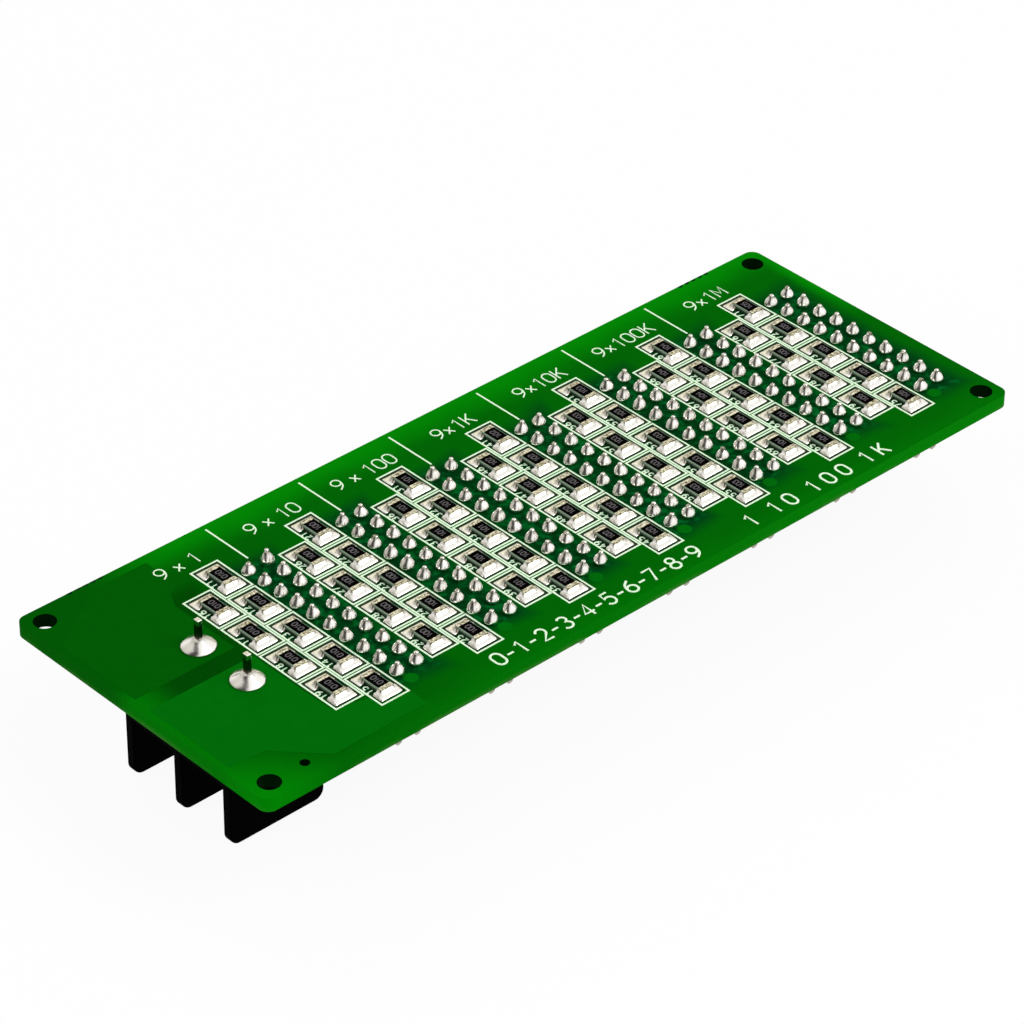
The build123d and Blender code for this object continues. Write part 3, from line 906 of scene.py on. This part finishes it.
# Solder
# Bright tin flows over each copper land and up the resistor's end, and stands as
# a cone round each pin. Each joint is fed by itself, so no two are quite alike.
land_width = 2.96 * mm
land_inner_end = 0.94 * mm
land_outer_end = 2.47 * mm
land_film = 0.06 * mm
land_lip = 0.16 * mm
land_steps_across = 14
land_steps_along = 8
opening_margin = 0.08 * mm
opening_film = 0.012 * mm
cap_rise = 0.62 * mm
cap_film = 0.05 * mm
cap_ragged = 0.09 * mm
cap_reach = 0.32 * mm
cap_fall = 1.2
side_fall = 1.2
fillet_power = 1.4
far_fillet_fall = 0.1 * mm
far_tilt = 0.0
near_fillet_fall = 0.15 * mm
near_tilt = 0.25
near_land_shift = 0.06 * mm
lumps_per_metre = 2600
cap_noise_level = 3.0
stain_noise_level = 7.0
stain_reach = 0.42 * mm
stain_ragged = 0.9
tin_tones = ((0.86, 0.83, 0.76), (0.96, 0.95, 0.91))
flux_and_shade_brown = (0.2, 0.17, 0.1)
flux_grain_mm = 0.14
flux_patch_span = (0.35, 0.6)
flux_least = 0.45
bare_fibre_shade_tones = ((0.006, 0.018, 0.005), (0.035, 0.045, 0.016))
cone_foot_radius = 0.82 * mm
cone_squareness = 0.05
cone_sides = 14
cone_rings = (
    # share of the foot's radius, height in mm, share of brown: burnt flux and painted shade
    (0.9, 0.0, 0.9),
    (0.98, 0.1, 0.5),
    (1.0, 0.22, 0.1),
    (0.96, 0.4, 0.0),
    (0.86, 0.58, 0.0),
    (0.72, 0.76, 0.0),
    (0.57, 0.93, 0.1),
    (0.44, 1.07, 0.55),
    (0.34, 1.18, 0.8),
    (0.29, 1.26, 0.3),
    (0.3, 1.33, 0.0),
    (0.24, 1.41, 0.0),
)
joint_sink = 0.02 * mm
wide_swell_share = 0.4
pin_rows = 10
tallest_pin = (1, 1)
tallest_share = 1.28

bright_tin = grained(
    "bright_tin", tin_tones, (0.15, 0.24), grain_mm=0.45, detail=3.0, bump_mm=0.007, metal=1.0
)
tree = bright_tin.node_tree
# The brown is burnt flux on the lands, and painted shade and dark reflection at the foot and under the tip
# of each cone and dome.
flux_and_shade = add_node(tree, "ShaderNodeAttribute", attribute_name="flux_and_shade").outputs["Fac"]
patchy = ramp_step(tree, grain(tree, flux_grain_mm, detail=2.0), *flux_patch_span, flux_least, 1.0)
tint(bright_tin, math_step(tree, "MULTIPLY", flux_and_shade, patchy, clamp=True), flux_and_shade_brown)

# The openings round the lands show bare fibre, drawn darker as painted shade along the lands' rims.
bare_fibre = grained("bare_fibre", bare_fibre_shade_tones, 0.6, grain_mm=0.3, detail=3.0, bump_mm=0.01, gloss=0.1)
openings = []
opening_half_x = land_width / 2 + opening_margin
opening_half_y = (land_outer_end - land_inner_end) / 2 + opening_margin
land_middle = (land_outer_end + land_inner_end) / 2
for decade in decades:
    for x, y in chip_places(decade):
        openings.append(rectangle(x, y - land_middle, opening_half_x, opening_half_y))
        openings.append(rectangle(x, y + land_middle, opening_half_x, opening_half_y))
mask_openings = prism("mask_openings", openings, board_high.z, board_high.z + opening_film, bare_fibre)
seat(mask_openings, "board")


def joint_group():
    """Sets a blank on every place, each turned, leant, swelled and rippled a little."""
    takes = [("Places", "Geometry"), ("Blank", "Object"), ("Seed", "Int"), ("Finish", "Material")]
    takes += [(label, "Float") for label in ("Turn", "Spin", "Lean", "Swell", "Ripple", "Ripple size")]
    group, given, result = new_group("hand_fed_joints", takes, "Joints")

    def chance(shift, most):
        """A number for each place, up to so much above or below nothing."""
        draw = add_node(group, "FunctionNodeRandomValue", data_type="FLOAT")
        low, high = [s for s in draw.inputs if s.type == "VALUE"][:2]
        low.default_value = -1.0
        high.default_value = 1.0
        feed(group, draw, {"Seed": math_step(group, "ADD", given["Seed"], float(shift))})
        return math_step(group, "MULTIPLY", next(s for s in draw.outputs if s.type == "VALUE"), most)

    tall = add_node(group, "GeometryNodeInputNamedAttribute", {"Name": "tall"}, data_type="FLOAT")
    turned = add_node(group, "ShaderNodeCombineXYZ", {
        "X": chance(1, given["Lean"]),
        "Y": chance(2, given["Lean"]),
        "Z": math_step(group, "ADD", chance(3, given["Spin"]), given["Turn"]),
    })
    wide_swell = math_step(group, "MULTIPLY", given["Swell"], wide_swell_share)
    wide = math_step(group, "ADD", chance(4, wide_swell), 1.0)
    high = math_step(group, "ADD", chance(5, given["Swell"]), tall.outputs[0])
    blank = add_node(group, "GeometryNodeObjectInfo", {"Object": given["Blank"]})
    copies = add_node(group, "GeometryNodeInstanceOnPoints", {
        "Points": given["Places"],
        "Instance": blank.outputs["Geometry"],
        "Rotation": turned.outputs[0],
        "Scale": add_node(group, "ShaderNodeCombineXYZ", {"X": wide, "Y": wide, "Z": high}).outputs[0],
    })
    real = add_node(group, "GeometryNodeRealizeInstances", {0: copies.outputs[0]})
    size = math_step(group, "DIVIDE", 1.0, given["Ripple size"])
    ripple = add_node(group, "ShaderNodeTexNoise", {"Detail": 1.0, "Scale": size}).outputs["Color"]
    middle = (0.5, 0.5, 0.5)
    centred = add_node(group, "ShaderNodeVectorMath", {0: ripple, 1: middle}, operation="SUBTRACT")
    inputs = {0: centred.outputs[0], "Scale": given["Ripple"]}
    sized = add_node(group, "ShaderNodeVectorMath", inputs, operation="SCALE")
    inputs = {"Geometry": real.outputs[0], "Offset": sized.outputs[0]}
    moved = add_node(group, "GeometryNodeSetPosition", inputs)
    end_group(group, moved.outputs[0], given["Finish"], result)
    return group


def write_attribute(mesh, label, numbers):
    """Writes one number on each point of a mesh."""
    mesh.attributes.new(label, "FLOAT", "POINT").data.foreach_set("value", numbers)


def blank_object(name, form, flux_and_shade_shares):
    """A mesh kept only to be copied, with the share of brown at each point: burnt flux, and painted shade
    on the cones and domes.
    """
    bmesh.ops.recalc_face_normals(form, faces=form.faces)
    blank = shaped(name, form)
    blank.hide_render = True
    write_attribute(blank.data, "flux_and_shade", flux_and_shade_shares)
    return blank


def land_height(x, y, fillet_fall, tilt):
    """Height of the tin over a land, for a resistor end at half its length on +Y."""
    aside = max(abs(x) - chip_width / 2, 0.0)
    beyond = max(y - chip_length / 2, 0.0)
    if aside == 0.0 and beyond == 0.0:
        ragged = noise.noise(Vector((x * lumps_per_metre, y * lumps_per_metre, cap_noise_level)))
        fall = cap_fall * max(0.0, chip_length / 2 - cap_reach - y)
        return cap_rise + cap_film + cap_ragged * ragged - fall
    shore = min(land_width / 2 - abs(x), land_outer_end - y, y - land_inner_end)
    lip = min(1.0, max(shore, 0.0) / land_lip) ** 0.5
    away = math.hypot(aside * side_fall, beyond)
    climb = math.exp(-(away / fillet_fall) ** fillet_power)
    film = land_film + tilt * max(0.0, land_outer_end - max(y, chip_length / 2))
    return (film + (cap_rise - film) * climb) * lip


def land_blank(name, fillet_fall, tilt):
    """One land's tin as a small height field with a closed underside."""
    form = bmesh.new()
    rows = []
    flux_and_shade_shares = []
    for row in range(land_steps_along + 1):
        y = land_inner_end + (land_outer_end - land_inner_end) * row / land_steps_along
        line = []
        for step in range(land_steps_across + 1):
            x = land_width * (step / land_steps_across - 0.5)
            line.append(form.verts.new((x, y, land_height(x, y, fillet_fall, tilt))))
            from_chip = max(0.0, abs(x) - chip_width / 2, y - chip_length / 2)
            ragged = noise.noise(Vector((x * lumps_per_metre, y * lumps_per_metre, stain_noise_level)))
            flux_and_shade_shares.append(min(1.0, max(0.0, 1.0 + stain_ragged * ragged - from_chip / stain_reach)))
        rows.append(line)
    for lower, upper in zip(rows, rows[1:]):
        for step in range(land_steps_across):
            form.faces.new((lower[step], lower[step + 1], upper[step + 1], upper[step]))
    right_side = [line[-1] for line in rows[1:-1]]
    left_side = [line[0] for line in rows[-2:0:-1]]
    rim = rows[0] + right_side + rows[-1][::-1] + left_side
    feet = [form.verts.new((v.co.x, v.co.y, -joint_sink)) for v in rim]
    for index in range(len(rim)):
        after = (index + 1) % len(rim)
        form.faces.new((rim[index], feet[index], feet[after], rim[after]))
    form.faces.new(feet)
    return blank_object(name, form, flux_and_shade_shares + [0.0] * len(feet))


def cone_blank(name, rings, foot_radius, sides):
    """One pin's joint: rings of a slightly square section, closed at both ends."""
    form = bmesh.new()
    loops = []
    flux_and_shade_shares = []
    for share, height, flux_and_shade_share in ((rings[0][0], -joint_sink / mm, 0.0),) + rings:
        loop = []
        for side in range(sides):
            angle = 2 * math.pi * side / sides
            square = 1 + cone_squareness * math.cos(4 * angle) * (1 - share)
            radius = foot_radius * share * square
            loop.append(form.verts.new((radius * math.cos(angle), radius * math.sin(angle), height * mm)))
        loops.append(loop)
        flux_and_shade_shares += [flux_and_shade_share] * sides
    skin(form, loops)
    return blank_object(name, form, flux_and_shade_shares)


def pin_spots(decade):
    """X and Y of a decade's pins, row by row from the far edge."""
    low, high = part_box(f"header_pins_{decade}")
    pitch = (high.y - low.y - 2 * pin_half) / (pin_rows - 1)
    return [(x, high.y - pin_half - row * pitch) for row in range(pin_rows) for x in pin_columns(decade)]


joints = joint_group()


def fed_joints(
    name, node, blank, spots, seed, ripple_mm, wave_mm, turn_deg=0.0, spin_deg=0.0, lean_deg=0.0, swell=0.0
):
    """Joints of one kind on their places, in the place of a CAD node's solder.

    A spot is X, Y and the joint's height as a share of its blank's.
    """
    mesh = bpy.data.meshes.new(name + "_places")
    mesh.from_pydata([(x, y, board_high.z) for x, y, tall in spots], [], [])
    write_attribute(mesh, "tall", [tall for x, y, tall in spots])
    values = {
        "Blank": blank,
        "Seed": seed,
        "Finish": bright_tin,
        "Turn": math.radians(turn_deg),
        "Spin": math.radians(spin_deg),
        "Lean": math.radians(lean_deg),
        "Swell": swell,
        "Ripple": ripple_mm * mm,
        "Ripple size": wave_mm * mm,
    }
    seat(settle(name, set_out(name + "_places", mesh), joints, values), "board", node)


far_land = land_blank("far_land", far_fillet_fall, far_tilt)
near_land = land_blank("near_land", near_fillet_fall, near_tilt)
cone = cone_blank("cone_blank", cone_rings, cone_foot_radius, cone_sides)
for decade in decades:
    node = f"solder_{decade}"
    far_spots = [(x, y, 1.0) for x, y in chip_places(decade)]
    near_spots = [(x, y + near_land_shift, 1.0) for x, y in chip_places(decade)]
    pins = enumerate(pin_spots(decade))
    cone_spots = [(x, y, tallest_share if (decade, pin) == tallest_pin else 1.0) for pin, (x, y) in pins]
    for name, blank, spots, seed, ripple_mm, wave_mm, ways in (
        ("far_land_solder", far_land, far_spots, 10, 0.03, 0.5, {}),
        ("near_land_solder", near_land, near_spots, 20, 0.05, 0.5, {"turn_deg": 180}),
        ("pin_solder", cone, cone_spots, 40, 0.05, 1.0, {"spin_deg": 180, "lean_deg": 5, "swell": 0.1}),
    ):
        fed_joints(f"{name}_{decade}", node, blank, spots, seed + decade, ripple_mm, wave_mm, **ways)
for blank in (far_land, near_land, cone):
    bpy.data.objects.remove(blank)


# Headers
# Two-row mouldings of black nylon with square tinned pins pressed through them.
# The long ends hang below the board, and the short ends are soldered above it.
tip_reach = 0.48 * mm
tip_taper = 0.35 * mm
tip_end_half = 0.17 * mm
weld_distance = 0.0005 * mm
flat_within_deg = 1
sharp_over_deg = 35
nylon_tones = ((0.006, 0.006, 0.006), (0.02, 0.02, 0.02))
pin_tones = ((0.26, 0.25, 0.2), (0.46, 0.44, 0.37))


def softened(node, material, body, radius_mm, segments=2):
    """A copy of a CAD piece with its sharp edges rounded, in that piece's place."""
    form = bmesh.new()
    form.from_mesh(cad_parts[node].data)
    bmesh.ops.remove_doubles(form, verts=form.verts, dist=weld_distance)
    flat_angle = math.radians(flat_within_deg)
    bmesh.ops.dissolve_limit(form, angle_limit=flat_angle, verts=form.verts, edges=form.edges)
    piece = shaped(node + "_soft", form, material)
    bevel = piece.modifiers.new("rounded_edges", "BEVEL")
    bevel.width = radius_mm * mm
    bevel.segments = segments
    bevel.limit_method = "ANGLE"
    bevel.angle_limit = math.radians(sharp_over_deg)
    bevel.harden_normals = True
    seat(piece, body, node)


black_nylon = grained(
    "black_nylon", nylon_tones, (0.4, 0.6), grain_mm=0.5, detail=5.0, bump_mm=0.02, gloss=0.35
)
for decade in decades:
    softened(f"header_base_{decade}", black_nylon, "board", radius_mm=0.1)

tinned_pin = grained(
    "tinned_pin", pin_tones, (0.2, 0.38), grain_mm=0.12, bump_mm=0.01, metal=1.0, squeeze=0.1
)
wear([f"header_pins_{decade}" for decade in decades], tinned_pin)

# The posts that no cap covers show a little more of their tips than the solids have.
post_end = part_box("header_pins_1")[0].z
tip_sections = (
    (post_end - tip_reach, tip_end_half),
    (post_end + tip_taper - tip_reach, pin_half),
    (post_end + tip_taper, pin_half),
)
form = bmesh.new()
for decade in decades:
    cap_low, cap_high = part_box(f"jumper_cap_{decade}")
    for x, y in pin_spots(decade):
        if not cap_low.y < y < cap_high.y:
            loops = []
            for z, half in tip_sections:
                loops.append([form.verts.new((a, b, z)) for a, b in rectangle(x, y, half, half)])
            skin(form, loops)
bmesh.ops.recalc_face_normals(form, faces=form.faces)
seat(shaped("post_tips", form, tinned_pin), "board")


# Jumpers
# A small black cap over a folded bronze spring joins the two posts of one row.
# It pulls straight off, and the row that it is on sets how many resistors count.
cap_tones = ((0.01, 0.01, 0.011), (0.028, 0.028, 0.03))
bronze_tones = ((0.55, 0.36, 0.14), (0.8, 0.6, 0.32))

cap_nylon = grained("cap_nylon", cap_tones, (0.35, 0.5), grain_mm=0.3, detail=5.0, bump_mm=0.015)
spring_bronze = grained("spring_bronze", bronze_tones, (0.22, 0.36), grain_mm=0.3, bump_mm=0.01, metal=1.0)
wear([f"jumper_clip_{decade}" for decade in decades], spring_bronze)
for decade in decades:
    softened(f"jumper_cap_{decade}", cap_nylon, f"jumper_{decade}", radius_mm=0.12)


# Terminal block
# A black moulding with three barriers and two open bays. In each, a tinned strip
# is tapped for a plated screw, and its tail comes up through the board.
barrier_tones = ((0.0003, 0.0003, 0.0003), (0.001, 0.001, 0.001))
strip_tones = ((0.62, 0.6, 0.54), (0.85, 0.83, 0.77))
steel_tones = ((0.5, 0.5, 0.5), (0.74, 0.74, 0.72))
tail_reflection_brown = (0.1, 0.09, 0.07)
reflection_above_board = (0.7 * mm, 1.1 * mm)
reflection_below_top = (0.75 * mm, 0.45 * mm)
dome_radius = 1.92 * mm
dome_sides = 32
dome_shift = 0.08 * mm
dome_rings = (
    # share of the foot's radius, height in mm, share of brown: burnt flux and painted shade
    (0.97, 0.0, 0.6),
    (1.0, 0.1, 0.1),
    (0.93, 0.25, 0.0),
    (0.8, 0.42, 0.0),
    (0.65, 0.6, 0.0),
    (0.5, 0.78, 0.0),
    (0.37, 0.95, 0.3),
    (0.27, 1.1, 0.7),
)

barrier_black = grained(
    "barrier_black", barrier_tones, (0.38, 0.55), grain_mm=0.6, detail=5.0, bump_mm=0.02, gloss=0.003
)
softened("terminal_housing", barrier_black, "board", radius_mm=0.18, segments=3)

strip_tin = grained("strip_tin", strip_tones, (0.1, 0.2), grain_mm=0.4, bump_mm=0.008, metal=1.0)
# Painted dark reflection: a brown band on each tail between its joint and its tip.
tree = strip_tin.node_tree
height = place_parts(tree)["Z"]
tail_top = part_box("terminal_contacts")[1].z
above_joint = ramp_step(tree, height, *[board_high.z + rise for rise in reflection_above_board])
below_tip = ramp_step(tree, height, *[tail_top - fall for fall in reflection_below_top], 1.0, 0.0)
tint(strip_tin, math_step(tree, "MULTIPLY", above_joint, below_tip), tail_reflection_brown)
softened("terminal_contacts", strip_tin, "board", radius_mm=0.06)

plated_steel = grained(
    "plated_steel", steel_tones, (0.22, 0.38), grain_mm=0.35, detail=5.0, bump_mm=0.01, metal=1.0
)
for pole in (1, 2):
    softened(f"terminal_clamp_{pole}", plated_steel, f"clamp_{pole}", radius_mm=0.1)
    softened(f"terminal_screw_{pole}", plated_steel, f"screw_{pole}", radius_mm=0.12)

low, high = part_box("terminal_solder")
joint_half = (high.x - low.x) / 2
joint_x = (low.x + high.x) / 2 - dome_shift
dome_spots = [(joint_x, y - dome_shift, 1.0) for y in (high.y - joint_half, low.y + joint_half)]
dome = cone_blank("dome_blank", dome_rings, dome_radius, dome_sides)
fed_joints(
    "tail_solder", "terminal_solder", dome, dome_spots, seed=70, ripple_mm=0.12, wave_mm=2.2, swell=0.03
)
bpy.data.objects.remove(dome)
